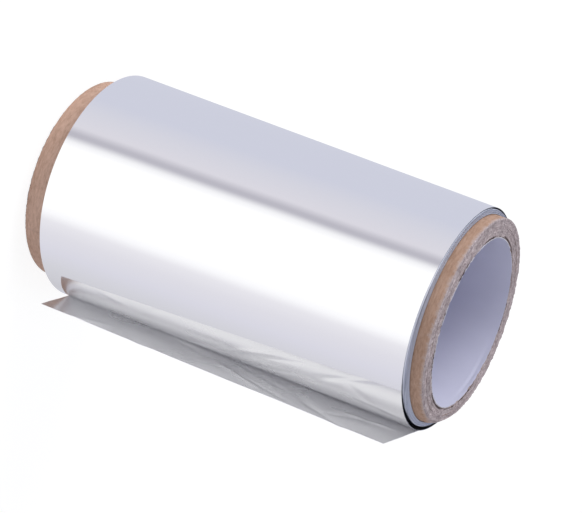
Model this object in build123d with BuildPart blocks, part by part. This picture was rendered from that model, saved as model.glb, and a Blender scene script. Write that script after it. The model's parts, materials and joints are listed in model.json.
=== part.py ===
"""Aluminium foil roll, standing on the end of its core.

A kraft paper core, lined with white paper, carries a tight winding of foil. The last turn has
slackened into a shallow cone: at the upper end it still lies on the winding on one side, at the
lower end it stands clear of it all round. It runs out into a tail, whose square cut slants because
the cone takes up more of the sheet at the lower end.
Millimetres, +Z up along the roll, origin on its axis at the end that it stands on.
"""

import os
from math import acos, degrees

from build123d import *

# Core
bore_radius = 38.1
liner_wall = 0.5
kraft_wall = 8.4
core_radius = bore_radius + liner_wall + kraft_wall
edge_break = 0.3

# Foil along the core, and how far the core stands out of it at each end
foil_width = 182.0
lower_core_end = 12.5
upper_core_end = 7.0
core_length = lower_core_end + foil_width + upper_core_end

# Winding: its turns wandered a little to either side, in groups, as they were wound
winding_wall = 3.0
turn_wander = 0.35
turn_group_shares = (0.3, 0.2, 0.28, 0.22)
turn_shift_shares = (-0.4, 0.7, 0.1, -1.0)
winding_radius = core_radius + winding_wall

# Slack last turn: how far it stands off the winding at each end of the roll, and how far its centre
# lies off the roll's axis there, towards the tail
sheet = 0.3
upper_slack = 0.45
upper_shift = 0.7
lower_slack = 3.0
lower_shift = -0.4

# Tail: its length from the roll at each end of the cut, and how far its lower corner turns outwards
upper_tail = 46.2
lower_tail = 31.8
lower_tail_turn_out = 1.6

lower_end = Plane.XY.offset(lower_core_end)
upper_end = Plane.XY.offset(lower_core_end + foil_width)

# Axis of the cone, which leans a little, and how far what the turn encloses runs past its ends
turn_axis = Plane(
    origin=(lower_shift, 0, lower_core_end),
    z_dir=(upper_shift - lower_shift, 0, foil_width),
)
end_overlap = 2.0
slack_per_length = (lower_slack - upper_slack) / foil_width


def ring_section(plane, inner, outer):
    """Section of a straight round tube."""
    with BuildSketch(plane) as section:
        Circle(outer)
        Circle(inner, mode=Mode.SUBTRACT)
    return section.sketch


def outer_section(plane, slack, shift, tail, turn_out):
    """The last turn at one end of the roll, filled, with the tail that it runs out into."""
    turn_radius = winding_radius + slack + sheet
    under_tail = shift + turn_radius - sheet
    meets_tail = 360 - degrees(acos(1 - sheet / turn_radius))
    with BuildSketch(plane) as section:
        with BuildLine():
            turn = CenterArc((shift, 0), turn_radius, 0, meets_tail)
            Polyline(
                turn @ 1,
                (under_tail + turn_out, -tail),
                (under_tail + sheet + turn_out, -tail),
                turn @ 0,
            )
        make_face()
    return section.sketch


with BuildPart() as kraft_core:
    extrude(ring_section(Plane.XY, bore_radius + liner_wall, core_radius), amount=core_length)
    chamfer(kraft_core.edges().filter_by(GeomType.CIRCLE).group_by(SortBy.RADIUS)[-1], edge_break)
kraft_core.part.label = "kraft_core"

with BuildPart() as core_liner:
    extrude(ring_section(Plane.XY, bore_radius, bore_radius + liner_wall), amount=core_length)
core_liner.part.label = "core_liner"

with BuildPart() as foil_roll:
    loft(
        [
            outer_section(lower_end, lower_slack, lower_shift, lower_tail, lower_tail_turn_out),
            outer_section(upper_end, upper_slack, upper_shift, upper_tail, 0),
        ],
        ruled=True,
    )
    with Locations(turn_axis.offset(-end_overlap)):
        Cone(
            winding_radius + lower_slack + slack_per_length * end_overlap,
            winding_radius + upper_slack - slack_per_length * end_overlap,
            foil_width + 2 * end_overlap,
            align=(Align.CENTER, Align.CENTER, Align.MIN),
            mode=Mode.SUBTRACT,
        )

    inner_radius = core_radius
    for group_share, shift_share in zip(turn_group_shares, turn_shift_shares):
        outer_radius = inner_radius + winding_wall * group_share
        group_end = lower_end.offset(turn_wander * shift_share)
        extrude(ring_section(group_end, inner_radius, outer_radius), amount=foil_width)
        inner_radius = outer_radius
foil_roll.part.label = "foil_roll"

os.makedirs("parts", exist_ok=True)
export_step(kraft_core.part, "parts/kraft_core.step")
export_step(core_liner.part, "parts/core_liner.step")
export_step(foil_roll.part, "parts/foil_roll.step")
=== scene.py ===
"""Looks of the aluminium foil roll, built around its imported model, in metres.

The roll stands on its core's lower end. Four pieces take the place of the plain solids: the kraft
core with its cut plies, the paper that lines its bore, the tight winding, and the slack last turn,
which is one thin sheet from the cut end of the tail to where it dives under itself.
"""

import json
from math import cos, pi, radians, sin, tau

import bpy
import numpy as np
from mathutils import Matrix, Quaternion, Vector


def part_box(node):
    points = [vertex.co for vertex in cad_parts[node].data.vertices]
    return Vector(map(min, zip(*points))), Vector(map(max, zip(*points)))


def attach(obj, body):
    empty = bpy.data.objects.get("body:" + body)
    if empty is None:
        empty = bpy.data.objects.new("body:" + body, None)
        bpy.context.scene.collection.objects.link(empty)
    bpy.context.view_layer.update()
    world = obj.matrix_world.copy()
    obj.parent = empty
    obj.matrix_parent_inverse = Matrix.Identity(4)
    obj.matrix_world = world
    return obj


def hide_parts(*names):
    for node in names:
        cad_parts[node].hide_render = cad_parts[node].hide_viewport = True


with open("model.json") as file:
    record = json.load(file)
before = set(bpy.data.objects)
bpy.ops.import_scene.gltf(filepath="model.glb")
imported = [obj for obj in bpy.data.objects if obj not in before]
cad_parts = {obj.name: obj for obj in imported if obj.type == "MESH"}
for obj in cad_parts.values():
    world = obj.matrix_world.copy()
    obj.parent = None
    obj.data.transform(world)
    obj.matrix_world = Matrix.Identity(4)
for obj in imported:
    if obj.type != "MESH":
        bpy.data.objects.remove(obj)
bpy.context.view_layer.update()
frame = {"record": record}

MM = 0.001
BLACK = (0, 0, 0)
WHITE = (1, 1, 1)

# Sizes that the solids carry
core_low, core_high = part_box("kraft_core")
foil_low, foil_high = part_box("foil_roll")
core_radius = core_high.x
core_length = core_high.z - core_low.z
liner_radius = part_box("core_liner")[1].x
mounts = {mount["name"]: mount for mount in frame["record"]["mounts"]}
bore_radius = mounts["core_bore"]["dims"]["r_mm"] * MM
winding_bottom = foil_low.z
winding_top = foil_high.z

# Below, a place round the roll is given as (middle, reach to both sides, amount there)

# Cut ends of the core: the plies that show, the grooves between them, whose edges are given as a
# share of a ply, the broken outer edge, and how rough the cut and the wall are
plies = 14
ply_groove = 0.06 * MM
groove_edges = (0.02, 0.16)
edge_break = 0.4 * MM
cut_roughness = 0.4 * MM
wall_dents = 0.05 * MM

# The cut's inner edge is frayed: how far, and from which share of the wall on
inner_fray = 0.4 * MM
fray_edges = (0.9, 1.0)

# Where the cut opened the board between plies: share of the wall from outside, width share and depth
splits = [(0.45, 0.02, 0.5 * MM), (0.72, 0.02, 0.3 * MM)]

# The upper cut leans: how far it falls to the side across from its highest place, and where that is
cut_lean = 1.0 * MM
cut_highest_at = radians(304)

# The upper end's edge is worn in at one place, and so far down
worn_edge = (radians(4), radians(36), 2.5 * MM)
worn_down = 6.5 * MM

# The wall turns grey near the upper cut: how ragged that is, and from where to where past the cut's
# level, with the rags added
grey_rags = 5 * MM
grey_from = 0.5 * MM
grey_to = 2.6 * MM

# Painted shade in the gap between the paper and the board: how far out from the paper it ends, and where
# it is full
gap_shade_end = 1.3 * MM
gap_shade_full = 0.7 * MM

# Paper in the bore: how far behind the bore's surface it lies, its waves and how close they are along
# it, and its spiral seam, whose width is a share of a turn
paper_back = 0.1 * MM
paper_waves = 0.1 * MM
paper_wave_rate = 6
paper_pitch = 95 * MM
seam_width = 0.008
seam_rise = 0.1 * MM

# Its torn ends: the least that is gone, how deep the tears go, and how far its back lies further in
torn_least = 0.1 * MM
torn_depth = 0.8 * MM
torn_bevel = 0.1 * MM

# The crease that the cut left in it near the upper end: its height, its width and its place
crease_height = 198.9 * MM
crease_width = 0.7 * MM
crease_place = (radians(42), radians(20), 0.4 * MM)

# Loose sheet: its thickness, and its edges along the roll
sheet = 0.06 * MM
turn_bottom = 12.55 * MM
turn_top = 194.2 * MM

# Its upper edge lies low at one place and high at another
edge_waves = [(radians(290), radians(42), -0.55 * MM), (radians(205), radians(25), 0.3 * MM)]

# Slack last turn, as a circle at the lower and the upper end of the roll: its radius, and how far its
# centre is shifted
turn_radius_ends = (53.2 * MM, 50.7 * MM)
turn_shift_ends = (-0.4 * MM, 0.7 * MM)

# Its waves, and between which angles they grow and die out
turn_waves = 0.05 * MM
turn_waves_grow = (0, radians(30))
turn_waves_end = (radians(320), radians(355))

# Where the slack turn tucks in to pass under the tail, and from where it dives on to lie down
tuck = 0.08 * MM
tuck_from = radians(352)
dive_from = radians(361)
dive_to = radians(470)
dive_ends = (2.9 * MM, 1.0 * MM)

# Tail: its length at each end of the cut, how far it bends out of its tangent there, and how far it
# sags back
tail_ends = (32.2 * MM, 46.6 * MM)
tail_bend_ends = (1.8 * MM, 0.1 * MM)
tail_sag = 0.2 * MM

# How far from its root the tail clings to the turn under it, how far off that it lies, and where it
# parts from it
clings = 8 * MM
cling_gap = 1.5 * sheet
parting = (clings - 1 * MM, clings + 3 * MM)

# Its soft waves, how close they are away from the roll and along it, and where creases and waves grow
tail_waves = 0.3 * MM
tail_wave_rates = (60, 7)
tail_waves_grow = (8 * MM, 16 * MM)

# Creases of the tail, in millimetres: from and to, each as distance from the root and height, then
# rise and width
tail_creases = [
    ((20, 96), (36, 127), -0.45, 1.8),
    ((17, 134), (37, 158), 0.35, 2.2),
    ((31, 150), (47, 176), 0.35, 1.6),
    ((36, 160), (19, 179), 0.3, 1.6),
    ((24, 166), (21, 188), -0.35, 1.5),
    ((34, 30), (28, 47), -0.25, 1.8),
    ((33, 62), (42, 78), 0.25, 1.8),
    ((10, 70), (24, 104), 0.25, 2.4),
    ((14, 110), (26, 140), 0.25, 1.6),
    ((28, 118), (40, 146), 0.25, 1.4),
]

# Tight winding: its radius, the turns that show at its ends, how far they stand in at most, and the
# few that sank deeper, counted from inside
winding_radius = 50.0 * MM
winding_turns = 22
turn_stagger = 0.5 * MM
sunk_turns = [0, 1, 7, 16]
sunk_depth = 1.4 * MM

# The waves of its ends, and how close they are across its wall
end_waves = 0.12 * MM
end_wave_rate = 0.2

# At the upper end its inner turns stand higher, most of all at one place
inner_rise = 0.75 * MM
side_rise = (radians(322), radians(30), 0.5 * MM)

# Gap between winding and slack turn at the upper end: the least, the depth of the open one, between
# which angles that opens and closes, the share of it left beyond, and a shallow one elsewhere
gap_least = 2.5 * sheet
gap_depth = 1.8 * MM
gap_opens = (radians(-75), radians(-25))
gap_closes = (radians(-10), radians(60))
gap_left = 0.15
shallow_gap = (radians(160), radians(32), 0.5 * MM)

# Steps of the meshes. Round the slack turn: from where, to where and how many, finer in the fold
fold_from = radians(318)
fold_to = radians(364)
turn_steps = [(0, fold_from, 160), (fold_from, fold_to, 120), (fold_to, dive_to, 40)]
tail_steps = 70
sheet_rows = 96
winding_steps = 240
core_steps = 640
wall_rows = 44
face_rows = 44
paper_steps = 480
paper_rows = 180

# Fine relief of the surfaces
foil_lines = 0.004 * MM
board_grain = 0.12 * MM
paper_grain = 0.05 * MM

# Floor: half its side, how far it lies below the roll, and how much of what is seen of it is glow
floor_half = 8.0
floor_drop = 0.05 * MM
floor_glow = 1.14
floor_glow_share = 0.75

# What stands round the roll, as the foil mirrors it: degrees round from +X, and how bright
studio_cards = [
    (0, (0.68, 0.68, 0.73)),
    (40, (0.60, 0.60, 0.64)),
    (70, (0.62, 0.63, 0.71)),
    (100, (0.64, 0.655, 0.755)),
    (170, (0.645, 0.66, 0.765)),
    (190, (0.70, 0.70, 0.775)),
    (209, (0.745, 0.73, 0.79)),
    (216.5, (0.52, 0.51, 0.57)),
    (219.5, (0.53, 0.52, 0.58)),
    (225.5, (0.96, 0.96, 0.98)),
    (233, (1.12, 1.12, 1.12)),
    (290, (1.10, 1.10, 1.10)),
    (299, (1.02, 1.02, 1.04)),
    (307, (0.85, 0.84, 0.885)),
    (320, (0.78, 0.77, 0.83)),
    (340, (0.73, 0.725, 0.805)),
    (360, (0.68, 0.68, 0.73)),
]

# How far the cards lean: share of a turn for each unit up, from the level at which they are seen
card_lean = 0.14
card_seen_at = -0.39

# Even soft light, a little weaker from above than from the sides
light_above = (0.44, 0.445, 0.47)
light_aside = (0.90, 0.905, 0.93)

# Lamp: where it stands, how wide it is, and its power in watts
lamp_at = (-1.47, -0.12, 0.9)
lamp_size = 1.2
lamp_power = 13.0

# Camera: where it is, what it looks at, how far it is turned on its side, and its lens
camera_at = (-0.18263, -0.87406, 0.49187)
camera_aim = (0.00123, 0.00378, 0.10926)
camera_roll = radians(110.39)
lens_mm = 135.5
sensor_mm = 36

# Light is handed to and fro between the tail and the roll many times before it leaves the fold
mirror_bounces = 60

seed = 7
noise_source = np.random.default_rng(seed)


def between(ends, share):
    """Value at a share of the way from the lower to the upper end of the roll."""
    return ends[0] + (ends[1] - ends[0]) * share


def smooth(x, start, end):
    """0 before start, 1 after end, and a smooth step from one to the other."""
    t = np.clip((x - start) / (end - start), 0, 1)
    return t * t * (3 - 2 * t)


def hump(distance, width):
    """1 at no distance, falling off smoothly to both sides."""
    return np.exp(-((distance / width) ** 2))


def turned(angle, middle):
    """Angle from middle, the short way round."""
    return (angle - middle + pi) % tau - pi


def bulge(angle, middle, reach, amount):
    """An amount at a place round the roll, falling off smoothly to both sides of it."""
    return amount * hump(turned(angle, middle), reach)


def angles_round(steps):
    """Angles once round the roll, as one row of numbers."""
    return np.linspace(0, tau, steps, endpoint=False)[None, :]


def below_end(radius, angle):
    """How far the leaning upper cut lies below the end of the core."""
    return cut_lean / 2 * (1 - radius / core_radius * np.cos(angle - cut_highest_at))


def edge_wander(angle):
    """How far the upper edge of the slack turn lies above its usual height."""
    return sum(bulge(angle, *wave) for wave in edge_waves)


def soft_noise(angle, along, waves, strength):
    """Sum of slow waves round and along the roll, which closes on itself."""
    total = np.zeros(np.broadcast(angle, along).shape)
    for _ in range(waves):
        round_waves = noise_source.integers(1, 7)
        along_waves = noise_source.uniform(2, 30)
        phase, other_phase = noise_source.uniform(0, tau, 2)
        total += np.sin(round_waves * angle + phase) * np.sin(along_waves * along + other_phase)
    return total * strength / waves


def clumps(rows, columns, reach_rows, reach_columns):
    """Random heights from 0 to 1 in soft clumps, which close on themselves round the roll."""
    field = noise_source.normal(size=(rows, columns))
    for axis, reach in ((0, reach_rows), (1, reach_columns)):
        field = sum(np.roll(field, shift, axis) for shift in range(-reach, reach + 1))
    return np.clip(0.5 + (field - field.mean()) / field.std() / 4, 0, 1)


# Meshes


def add_faces(name, vertices, quads, materials, node, which=None):
    """A piece made of quads, which rides on the roll and takes the place of a node."""
    mesh = bpy.data.meshes.new(name)
    mesh.from_pydata(vertices.reshape(-1, 3).tolist(), [], quads.tolist())
    mesh.polygons.foreach_set("use_smooth", [True] * len(mesh.polygons))
    mesh.set_sharp_from_angle(angle=radians(40))
    for material in materials:
        mesh.materials.append(material)
    if which is not None:
        mesh.polygons.foreach_set("material_index", which)
    piece = bpy.data.objects.new(name, mesh)
    bpy.context.scene.collection.objects.link(piece)
    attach(piece, "root")
    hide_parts(node)


def grid_quads(index):
    """Quads between neighbouring rows and columns of a grid of vertex numbers."""
    corners = (index[:-1, :-1], index[1:, :-1], index[1:, 1:], index[:-1, 1:])
    return np.stack(corners, axis=-1).reshape(-1, 4)


def closed_grid(points):
    """Quads over a grid that closes on itself both ways."""
    rows, columns = points.shape[:2]
    index = np.arange(rows * columns).reshape(rows, columns)
    index = np.vstack([index, index[:1]])
    index = np.hstack([index, index[:, :1]])
    return grid_quads(index)


def turned_body(radius, height, angle):
    """Points of a body of revolution whose radius and height may change round it."""
    coordinates = (radius * np.cos(angle), radius * np.sin(angle), height)
    return np.stack(np.broadcast_arrays(*coordinates), axis=-1)


def thin_sheet(points, thickness):
    """Vertices and quads of a sheet, and which quads are its face, its back and its rims: 0, 1, 2."""
    along_rows = np.gradient(points, axis=0)
    along_columns = np.gradient(points, axis=1)
    normal = np.cross(along_rows, along_columns)
    normal /= np.linalg.norm(normal, axis=-1, keepdims=True)
    back = points - normal * thickness
    rows, columns = points.shape[:2]
    face_index = np.arange(rows * columns).reshape(rows, columns)
    back_index = face_index + rows * columns
    rims = [
        np.stack([back_index[0], face_index[0]]),
        np.stack([face_index[-1], back_index[-1]]),
        np.stack([face_index[:, 0], back_index[:, 0]]),
        np.stack([back_index[:, -1], face_index[:, -1]]),
    ]
    sides = [grid_quads(face_index), grid_quads(back_index)[:, ::-1]]
    sides.append(np.concatenate([grid_quads(rim) for rim in rims]))
    which = np.repeat(np.arange(len(sides)), [len(side) for side in sides])
    vertices = np.concatenate([points.reshape(-1, 3), back.reshape(-1, 3)])
    return vertices, np.concatenate(sides), which


# Nodes


def add_node(tree, kind, **values):
    """A node with the given settings. A value named after an input socket is set there."""
    node = tree.nodes.new(kind)
    for name, value in values.items():
        if hasattr(node, name):
            setattr(node, name, value)
        else:
            node.inputs[name.replace("_", " ").title()].default_value = value
    return node


def feed(tree, socket, value):
    """Give an input socket a value: another node's output, a colour or a number."""
    if isinstance(value, bpy.types.NodeSocket):
        tree.links.new(value, socket)
    elif isinstance(value, tuple):
        socket.default_value = (*value, 1)
    else:
        socket.default_value = value


def calculated(tree, operation, *values):
    """Result of one step of arithmetic on sockets or numbers."""
    node = add_node(tree, "ShaderNodeMath", operation=operation)
    for socket, value in zip(node.inputs, values):
        feed(tree, socket, value)
    return node.outputs[0]


def coordinate(tree, kind, axis):
    """X, Y or Z of a point, of its normal, or of a direction."""
    place = add_node(tree, "ShaderNodeTexCoord")
    parts = add_node(tree, "ShaderNodeSeparateXYZ")
    tree.links.new(place.outputs[kind], parts.inputs["Vector"])
    return parts.outputs[axis]


def distance_from_axis(tree):
    """How far a point is from the roll's axis."""
    place = add_node(tree, "ShaderNodeTexCoord")
    flat = add_node(tree, "ShaderNodeVectorMath", operation="MULTIPLY")
    flat.inputs[1].default_value = (1, 1, 0)
    tree.links.new(place.outputs["Object"], flat.inputs[0])
    length = add_node(tree, "ShaderNodeVectorMath", operation="LENGTH")
    tree.links.new(flat.outputs[0], length.inputs[0])
    return length.outputs["Value"]


def noise(tree, scale, detail=4.0, roughness=0.55):
    """Noise in the object's own space, with so many grains a metre along X, Y and Z."""
    place = add_node(tree, "ShaderNodeTexCoord")
    stretch = add_node(tree, "ShaderNodeMapping")
    stretch.inputs["Scale"].default_value = scale
    tree.links.new(place.outputs["Object"], stretch.inputs["Vector"])
    node = add_node(tree, "ShaderNodeTexNoise", scale=1.0, detail=detail, roughness=roughness)
    tree.links.new(stretch.outputs["Vector"], node.inputs["Vector"])
    return node.outputs["Fac"]


def rings(tree, scale, detail):
    """Noise that changes only with the distance from the roll's axis."""
    node = add_node(tree, "ShaderNodeTexNoise", noise_dimensions="1D", scale=scale, detail=detail)
    tree.links.new(distance_from_axis(tree), node.inputs["W"])
    return node.outputs["Fac"]


def ramp(tree, value, stops):
    """Colours for a value between 0 and 1."""
    node = add_node(tree, "ShaderNodeValToRGB")
    while len(node.color_ramp.elements) < len(stops):
        node.color_ramp.elements.new(0.5)
    for element, (place, colour) in zip(node.color_ramp.elements, stops):
        element.position = place
        element.color = (*colour, 1)
    tree.links.new(value, node.inputs["Fac"])
    return node.outputs["Color"]


def grey(level):
    """A colour without a tint."""
    return (level, level, level)


def ranged(tree, value, start, end):
    """A value as its share of the way from start to end, held at 0 and 1 beyond them."""
    node = add_node(tree, "ShaderNodeMapRange", from_min=start, from_max=end)
    tree.links.new(value, node.inputs["Value"])
    return node.outputs["Result"]


def mixed(tree, factor, first, second, blend="MIX"):
    """Two colours mixed by a factor."""
    node = add_node(tree, "ShaderNodeMix", data_type="RGBA", blend_type=blend)
    for socket, value in ((node.inputs[0], factor), (node.inputs[6], first), (node.inputs[7], second)):
        feed(tree, socket, value)
    return node.outputs[2]


def bump(tree, shader, height, distance, strength):
    """Fine relief on a shader's surface, as high as the distance where the height is 1."""
    node = add_node(tree, "ShaderNodeBump", strength=strength, distance=distance)
    tree.links.new(height, node.inputs["Height"])
    tree.links.new(node.outputs["Normal"], shader.inputs["Normal"])


# Materials


def new_material(name, roughness, metallic=0.0, gloss=0.5):
    """A material, with its node tree and its shader."""
    material = bpy.data.materials.new(name)
    material.use_nodes = True
    tree = material.node_tree
    shader = tree.nodes["Principled BSDF"]
    shader.inputs["Roughness"].default_value = roughness
    shader.inputs["Metallic"].default_value = metallic
    shader.inputs["Specular IOR Level"].default_value = gloss
    return material, tree, shader


def foil_material(name, tint, smoothest, roughest, lines):
    """Rolled aluminium: faint lines round the roll, where the mill's rolls ran."""
    material, tree, shader = new_material(name, roughest, metallic=1.0)
    shader.inputs["Base Color"].default_value = (*tint, 1)
    haze = noise(tree, (30, 30, 30), detail=2.0)
    patches = ramp(tree, haze, [(0.3, grey(smoothest)), (0.7, grey(roughest))])
    tree.links.new(patches, shader.inputs["Roughness"])
    bump(tree, shader, noise(tree, (12, 12, 2600), detail=3.0), foil_lines, lines)
    return material


def foil_edge_material():
    """Cut edges of many turns side by side: dull grey, with darker lines between the turns."""
    material, tree, shader = new_material("foil_edges", 0.5, metallic=0.75)
    shades = [(0.3, (0.30, 0.32, 0.38)), (0.5, (0.66, 0.69, 0.78)), (0.7, (0.86, 0.88, 0.95))]
    turns = ramp(tree, rings(tree, 2600, 2.0), shades)
    haze = noise(tree, (25, 25, 25), detail=2.0)
    tree.links.new(mixed(tree, haze, turns, (0.62, 0.65, 0.74)), shader.inputs["Base Color"])
    return material


def where_cut(tree):
    """1 where the surface faces along the roll, as a cut end does, and 0 on its walls."""
    facing = calculated(tree, "ABSOLUTE", coordinate(tree, "Normal", "Z"))
    return ramp(tree, facing, [(0.3, BLACK), (0.5, WHITE)])


def painted_shade_beside_liner(tree):
    """1 where shade is painted in the gap between the paper and the board, which comes and goes round the
    bore.
    """
    distance = distance_from_axis(tree)
    inside = ranged(tree, distance, liner_radius + gap_shade_end, liner_radius + gap_shade_full)
    places = noise(tree, (75, 75, 75), detail=3.0, roughness=0.7)
    comes = ramp(tree, places, [(0.44, BLACK), (0.56, WHITE)])
    return calculated(tree, "MULTIPLY", inside, comes)


def near_cut(tree):
    """1 where the wall comes near the upper cut, with a ragged edge, and 0 below it."""
    lean = cut_lean / (2 * core_radius)
    place = add_node(tree, "ShaderNodeTexCoord")
    level = add_node(tree, "ShaderNodeVectorMath", operation="DOT_PRODUCT")
    level.inputs[1].default_value = (-lean * cos(cut_highest_at), -lean * sin(cut_highest_at), 1)
    tree.links.new(place.outputs["Object"], level.inputs[0])
    rags = noise(tree, (420, 420, 260), detail=5.0, roughness=0.75)
    ragged = calculated(tree, "MULTIPLY_ADD", rags, grey_rags, level.outputs["Value"])
    cut_level = core_length - cut_lean / 2
    return ranged(tree, ragged, cut_level + grey_from, cut_level + grey_to)


def board_wall(tree):
    """Colour of the board's wall: fibres and clouds, painted light at its ends, grey at its cut."""
    fibres = noise(tree, (300, 300, 1100), detail=6.0, roughness=0.7)
    browns = [(0.3, (0.40, 0.26, 0.195)), (0.5, (0.53, 0.36, 0.28)), (0.7, (0.62, 0.44, 0.355))]
    clouds = noise(tree, (60, 60, 90), detail=3.0)
    tints = [(0.35, (0.88, 0.86, 0.84)), (0.65, WHITE)]
    height = coordinate(tree, "Object", "Z")
    # Painted light and shade: brighter at the lower end, darker towards the upper end
    painted_end_light = [(0.03, (1.2, 1.19, 1.19)), (0.18, (0.85, 0.81, 0.77))]
    wall = mixed(tree, 1.0, ramp(tree, fibres, browns), ramp(tree, clouds, tints), "MULTIPLY")
    wall = mixed(tree, 1.0, wall, ramp(tree, height, painted_end_light), "MULTIPLY")
    return mixed(tree, near_cut(tree), wall, (0.49, 0.405, 0.39))


def board_cut(tree):
    """Colour of the board's cut ends: specks, rings of plies, blots, and painted shade in the gap beside
    the paper.
    """
    specks = noise(tree, (760, 760, 500), detail=6.0, roughness=0.8)
    greys = [
        (0.36, (0.27, 0.215, 0.225)),
        (0.44, (0.40, 0.335, 0.345)),
        (0.54, (0.50, 0.43, 0.445)),
        (0.66, (0.68, 0.62, 0.635)),
    ]
    ply_tints = [(0.38, (0.86, 0.84, 0.85)), (0.6, (1.04, 1.03, 1.03))]
    blots = noise(tree, (170, 170, 170), detail=3.0, roughness=0.6)
    blot_tints = [(0.35, grey(0.84)), (0.65, grey(1.12))]
    cut = ramp(tree, specks, greys)
    cut = mixed(tree, 1.0, cut, ramp(tree, rings(tree, 620, 3.0), ply_tints), "MULTIPLY")
    cut = mixed(tree, 1.0, cut, ramp(tree, blots, blot_tints), "MULTIPLY")
    # Painted shade: a near-black brown in the gap beside the paper
    return mixed(tree, painted_shade_beside_liner(tree), cut, (0.085, 0.06, 0.06))


def kraft_material():
    """Kraft board: fibres on its wall, and grey, speckled plies where it is cut."""
    material, tree, shader = new_material("kraft_board", 0.85, gloss=0.25)
    board = mixed(tree, where_cut(tree), board_wall(tree), board_cut(tree))
    tree.links.new(board, shader.inputs["Base Color"])
    rough = noise(tree, (900, 900, 900), detail=5.0, roughness=0.7)
    bump(tree, shader, rough, board_grain, strength=0.6)
    return material


def paper_material():
    """White lining paper, tinted lavender as painted cool light, grey where it is torn."""
    material, tree, shader = new_material("white_paper", 0.75, gloss=0.3)
    clouds = noise(tree, (35, 35, 20), detail=4.0)
    # The lavender tint is painted cool light on white paper
    paper = ramp(tree, clouds, [(0.3, (0.60, 0.603, 0.735)), (0.7, (0.66, 0.663, 0.80))])
    paper = mixed(tree, where_cut(tree), paper, (0.62, 0.60, 0.65))
    tree.links.new(paper, shader.inputs["Base Color"])
    grain = noise(tree, (1100, 1100, 1100), detail=4.0)
    bump(tree, shader, grain, paper_grain, strength=0.3)
    return material


# Foil


def ridge(distance, height, start, end, rise, width):
    """A soft crease between two points of the tail, each (distance from the root, height)."""
    start, end = np.array(start) * MM, np.array(end) * MM
    run = end - start
    length = np.linalg.norm(run)
    run /= length
    along = (distance - start[0]) * run[0] + (height - start[1]) * run[1]
    aside = (distance - start[0]) * run[1] - (height - start[1]) * run[0]
    fade_in = smooth(along, -0.2 * length, 0.25 * length)
    fade_out = 1 - smooth(along, 0.75 * length, 1.2 * length)
    return rise * MM * fade_in * fade_out * hump(aside, width * MM)


def turn_height(share):
    """Height of a place on the slack turn, from its share of the way up."""
    return between((turn_bottom, turn_top), share)


def turn_angles():
    """Where the columns of the slack turn stand, as one column of numbers."""
    parts = [np.linspace(start, end, steps, endpoint=False) for start, end, steps in turn_steps]
    return np.concatenate([*parts, [dive_to]])[:, None]


def turn_section(angle, share):
    """Radius of the slack turn about its own centre."""
    tucked = tuck * smooth(angle, tuck_from, tau)
    dived = between(dive_ends, share) * smooth(angle, dive_from, dive_to)
    waves = soft_noise(angle, turn_height(share) / core_length, 9, turn_waves)
    waves = waves * smooth(angle, *turn_waves_grow) * (1 - smooth(angle, *turn_waves_end))
    return between(turn_radius_ends, share) - sheet - tucked - dived + waves


def lies_on_turn(radius, distance):
    """How far out the tail lies where it clings to the turn under it."""
    return np.sqrt(radius**2 - distance**2) + cling_gap * smooth(distance, 0, clings)


def tail_hangs(radius, part, share):
    """How far out the tail hangs at a part of its length from its root."""
    return radius + between(tail_bend_ends, share) * part**1.5 - tail_sag * part**2


def tail_relief(distance, height):
    """Creases and soft waves of the tail, which die out towards its root."""
    creases = sum(ridge(distance, height, *crease) for crease in tail_creases)
    away_rate, along_rate = tail_wave_rates
    waves = soft_noise(distance * away_rate, height * along_rate, 8, tail_waves)
    return (creases + waves) * smooth(distance, *tail_waves_grow)


def build_last_turn(*materials):
    """The sheet from the cut end of the tail, round the roll and under itself."""
    share = np.linspace(0, 1, sheet_rows)[None, :]
    angle = turn_angles()
    radius = turn_section(angle, share)
    shift = between(turn_shift_ends, share)
    turn_x = shift + radius * np.cos(angle)
    # The wander of the upper edge soon dies out below it
    turn_z = turn_height(share) + share**8 * edge_wander(angle)
    turn = np.stack(np.broadcast_arrays(turn_x, radius * np.sin(angle), turn_z), axis=-1)

    part = np.linspace(1, 0, tail_steps, endpoint=False)[:, None]
    root_radius = radius[:1]
    height = turn_z[:1]
    length = between(tail_ends, share)
    distance = part * length
    relief = tail_relief(distance, height)
    clung = lies_on_turn(root_radius, distance)
    drop = tail_hangs(root_radius, clings / length, share) - lies_on_turn(root_radius, clings)
    drop = drop * (length - distance) / (length - clings)
    hung = tail_hangs(root_radius, part, share) - drop + relief
    tail_x = shift + clung + (hung - clung) * smooth(distance, *parting)
    tail = np.stack(np.broadcast_arrays(tail_x, -distance, height), axis=-1)

    vertices, quads, which = thin_sheet(np.concatenate([tail, turn]), sheet)
    add_faces("foil_last_turn", vertices, quads, materials, "foil_roll", which)


def winding_end():
    """One end of the winding, from the core out: share of the wall, and how far it stands in there."""
    insets = noise_source.uniform(0, turn_stagger, winding_turns)
    insets[sunk_turns] = sunk_depth
    borders = np.linspace(0, 1, winding_turns + 1)
    share = np.stack([borders[:-1], borders[1:]], axis=1).ravel()
    return share, np.repeat(insets, 2)


def winding_top_radius(angle):
    """Radius of the winding at its upper end, where the slack turn lies nearly on it."""
    inside_turn = turn_radius_ends[1] + turn_shift_ends[1] * np.cos(angle) - gap_least
    from_root = turned(angle, 0)
    gap = gap_depth * smooth(from_root, *gap_opens)
    gap = gap * (1 - (1 - gap_left) * smooth(from_root, *gap_closes))
    return inside_turn - gap - bulge(angle, *shallow_gap)


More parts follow.
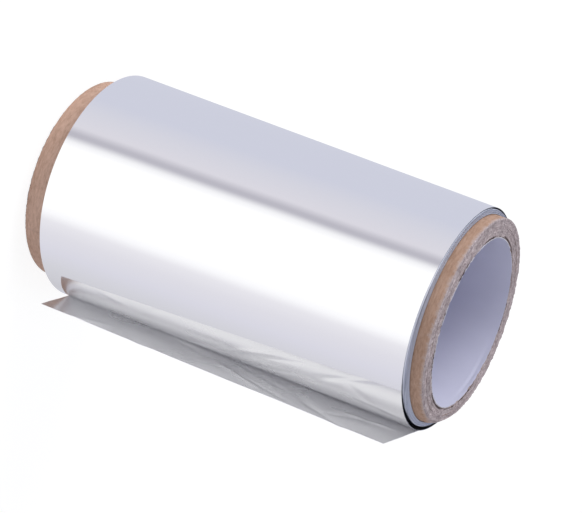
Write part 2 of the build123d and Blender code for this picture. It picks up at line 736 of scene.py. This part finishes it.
def build_winding(*materials):
    """The tight winding, its turns standing a little out of line at both ends."""
    angle = angles_round(winding_steps)
    end_share, end_inset = winding_end()
    share = np.concatenate([end_share, end_share[::-1]])[:, None]
    inset = np.concatenate([end_inset, end_inset[::-1]])[:, None]
    upper = (np.arange(len(share)) < len(end_share))[:, None]

    outer = np.where(upper, winding_top_radius(angle), winding_radius)
    radius = core_radius + (outer - core_radius) * share
    waves = np.abs(soft_noise(angle, share * end_wave_rate, 5, end_waves))
    rise = inner_rise + bulge(angle, *side_rise)
    top = winding_top - inset - waves + (1 - share) * rise + share * edge_wander(angle)
    height = np.where(upper, top, winding_bottom + inset + waves)
    points = turned_body(radius, height, angle)

    # The second material is for the outer wall, between the last upper row and the first lower one: a
    # dark foil whose colour is painted shade
    is_wall = np.arange(len(share)) == len(end_share) - 1
    which = np.repeat(is_wall, winding_steps)
    add_faces("foil_winding", points, closed_grid(points), materials, "foil_roll", which)


# Core


def cut_face(outer_radius):
    """Radius of a rough cut through the board, and how far each point lies inside its end plane."""
    share = np.linspace(0, 1, face_rows)[:, None]
    radius = outer_radius - (outer_radius - liner_radius) * share
    from_groove = np.abs(((share * plies) % 1) - 0.5)
    inset = ply_groove * (1 - smooth(from_groove, *groove_edges))
    inset = inset + edge_break * (1 - smooth(outer_radius - radius, 0, edge_break))
    inset = inset + cut_roughness * clumps(face_rows, core_steps, 1, 1)
    for place, width, depth in splits:
        inset = inset + 2 * depth * hump(share - place, width) * clumps(1, core_steps, 0, 14) ** 2
    fray = inner_fray * smooth(share, *fray_edges) * clumps(1, core_steps, 0, 4)
    return radius + fray, inset


def build_core(material):
    """The kraft core, its plies cut roughly across at both ends."""
    angle = angles_round(core_steps)
    wall_low = 1.2 * edge_break
    wall_high = core_length - below_end(core_radius, angle) - wall_low
    # The wall's rows stand closer towards its worn upper end
    wall_share = np.linspace(0, 1, wall_rows)[:, None] ** 0.4
    wall_height = wall_low + (wall_high - wall_low) * wall_share
    worn = bulge(angle, *worn_edge)
    worn_share = np.clip(1 - (wall_high - wall_height) / worn_down, 0, 1) ** 3
    wall_radius = core_radius - wall_dents * clumps(wall_rows, core_steps, 2, 20) - worn * worn_share

    top_radius, top_inset = cut_face(core_radius - worn)
    top_inset = top_inset + below_end(top_radius, angle)
    bottom_radius, bottom_inset = cut_face(core_radius + 0 * angle)
    radius = np.concatenate([wall_radius, top_radius, bottom_radius[::-1]])
    height = np.concatenate([wall_height, core_length - top_inset, bottom_inset[::-1]])
    points = turned_body(radius, height, angle)
    quads = closed_grid(points)[:, ::-1]
    add_faces("core_board", points, quads, [material], "kraft_core")


def build_liner(material):
    """The paper in the bore, with its spiral seam and torn edges."""
    angle = angles_round(paper_steps)
    # The paper's rows stand closer towards its creased upper end
    height = (1 - np.linspace(1, 0, paper_rows)[:, None] ** 1.3) * core_length
    turns = (angle / tau + height / paper_pitch) % 1
    seam = seam_rise * hump(turns - 0.5, seam_width)
    waves = np.abs(soft_noise(angle, height * paper_wave_rate, 7, paper_waves))
    crease = hump(height - crease_height, crease_width) * bulge(angle, *crease_place)
    inner_radius = bore_radius + paper_back + seam + waves + crease

    torn = torn_least + torn_depth * np.clip(clumps(2, paper_steps, 0, 2) - 0.5, 0, 1)
    torn[1] += below_end(bore_radius, angle[0])
    inner_height = np.clip(height, torn[:1], core_length - torn[1:])
    inner = turned_body(inner_radius, inner_height, angle)
    back_height = np.stack([core_length - torn[1] - torn_bevel, torn[0] + torn_bevel])
    points = np.concatenate([inner, turned_body(liner_radius, back_height, angle)])
    add_faces("core_paper", points, closed_grid(points), [material], "core_liner")


# Floor, surroundings, lamp and camera


def build_floor():
    """A plain pale floor. The foil mirrors the studio's cards in its place."""
    corners = [(x * floor_half, y * floor_half, 0) for x, y in ((-1, -1), (1, -1), (1, 1), (-1, 1))]
    mesh = bpy.data.meshes.new("floor")
    mesh.from_pydata(corners, [], [(0, 1, 2, 3)])
    floor = bpy.data.objects.new("floor", mesh)
    bpy.context.scene.collection.objects.link(floor)
    floor.location.z = -floor_drop
    floor.visible_glossy = False

    material, tree, shader = new_material("floor", 1.0, gloss=0.0)
    shader.inputs["Base Color"].default_value = (0.95, 0.95, 0.96, 1)
    path = add_node(tree, "ShaderNodeLightPath")
    glow = add_node(tree, "ShaderNodeEmission", strength=floor_glow)
    mix = add_node(tree, "ShaderNodeMixShader")
    glows = calculated(tree, "MULTIPLY", path.outputs["Is Camera Ray"], floor_glow_share)
    tree.links.new(glows, mix.inputs[0])
    tree.links.new(shader.outputs[0], mix.inputs[1])
    tree.links.new(glow.outputs[0], mix.inputs[2])
    tree.links.new(mix.outputs[0], tree.nodes["Material Output"].inputs["Surface"])
    mesh.materials.append(material)


def build_world():
    """A white studio: even soft light, white behind the roll, and pale cards mirrored in the foil."""
    world = bpy.data.worlds.new("studio")
    bpy.context.scene.world = world
    world.use_nodes = True
    tree = world.node_tree
    x, y, up = (coordinate(tree, "Generated", axis) for axis in "XYZ")
    turn = calculated(tree, "DIVIDE", calculated(tree, "ARCTAN2", y, x), tau)
    above_seen = calculated(tree, "SUBTRACT", up, card_seen_at)
    leaning = calculated(tree, "MULTIPLY_ADD", above_seen, card_lean, turn)
    stops = [(degrees / 360, colour) for degrees, colour in studio_cards]
    cards = ramp(tree, calculated(tree, "FRACT", leaning), stops)

    path = add_node(tree, "ShaderNodeLightPath")
    soft_light = ramp(tree, up, [(0.0, light_aside), (1.0, light_above)])
    seen = mixed(tree, path.outputs["Is Glossy Ray"], soft_light, cards)
    seen = mixed(tree, path.outputs["Is Camera Ray"], seen, WHITE)
    seen = mixed(tree, path.outputs["Is Transmission Ray"], seen, WHITE)
    tree.links.new(seen, tree.nodes["Background"].inputs["Color"])


def build_lamp():
    """One large soft lamp, over the near end of the roll as the camera sees it."""
    light = bpy.data.lights.new("soft_box", "AREA")
    light.shape = "DISK"
    light.size = lamp_size
    light.energy = lamp_power
    lamp = bpy.data.objects.new("soft_box", light)
    bpy.context.scene.collection.objects.link(lamp)
    lamp.location = lamp_at
    aim = Vector((0, 0, core_length / 2)) - lamp.location
    lamp.rotation_euler = aim.to_track_quat("-Z", "Y").to_euler()
    lamp.visible_glossy = False


def build_camera():
    """The photograph's view: the standing roll, with the camera turned on its side."""
    data = bpy.data.cameras.new("camera")
    data.sensor_width = sensor_mm
    data.lens = lens_mm
    data.clip_start = 0.05
    data.clip_end = 50
    camera = bpy.data.objects.new("camera", data)
    bpy.context.scene.collection.objects.link(camera)
    camera.location = camera_at
    upright = (Vector(camera_aim) - camera.location).to_track_quat("-Z", "Y")
    camera.rotation_mode = "QUATERNION"
    camera.rotation_quaternion = upright @ Quaternion((0, 0, 1), camera_roll)
    bpy.context.scene.camera = camera


# With fewer bounces, or with repeated reflections blurred, the fold under the tail turns black
scene = bpy.context.scene
scene.view_settings.view_transform = "Standard"
scene.cycles.max_bounces = mirror_bounces
scene.cycles.glossy_bounces = mirror_bounces
scene.cycles.diffuse_bounces = mirror_bounces // 2
scene.cycles.blur_glossy = 0

build_camera()
build_world()
build_lamp()
build_floor()

# The foil's bright outside, its duller inside, and for the winding's wall in the gap a dark foil, whose
# colour is painted shade
bright_foil = foil_material("foil", (0.94, 0.94, 0.95), smoothest=0.045, roughest=0.07, lines=0.35)
dull_foil = foil_material("foil_dull_side", (0.79, 0.79, 0.798), smoothest=0.26, roughest=0.31, lines=0.3)
painted_shade_foil = foil_material("foil_painted_gap_shade", (0.16, 0.17, 0.21), smoothest=0.3, roughest=0.35, lines=0.3)
foil_edges = foil_edge_material()
build_last_turn(bright_foil, dull_foil, foil_edges)
build_winding(foil_edges, painted_shade_foil)
build_core(kraft_material())
build_liner(paper_material())

bpy.context.view_layer.update()
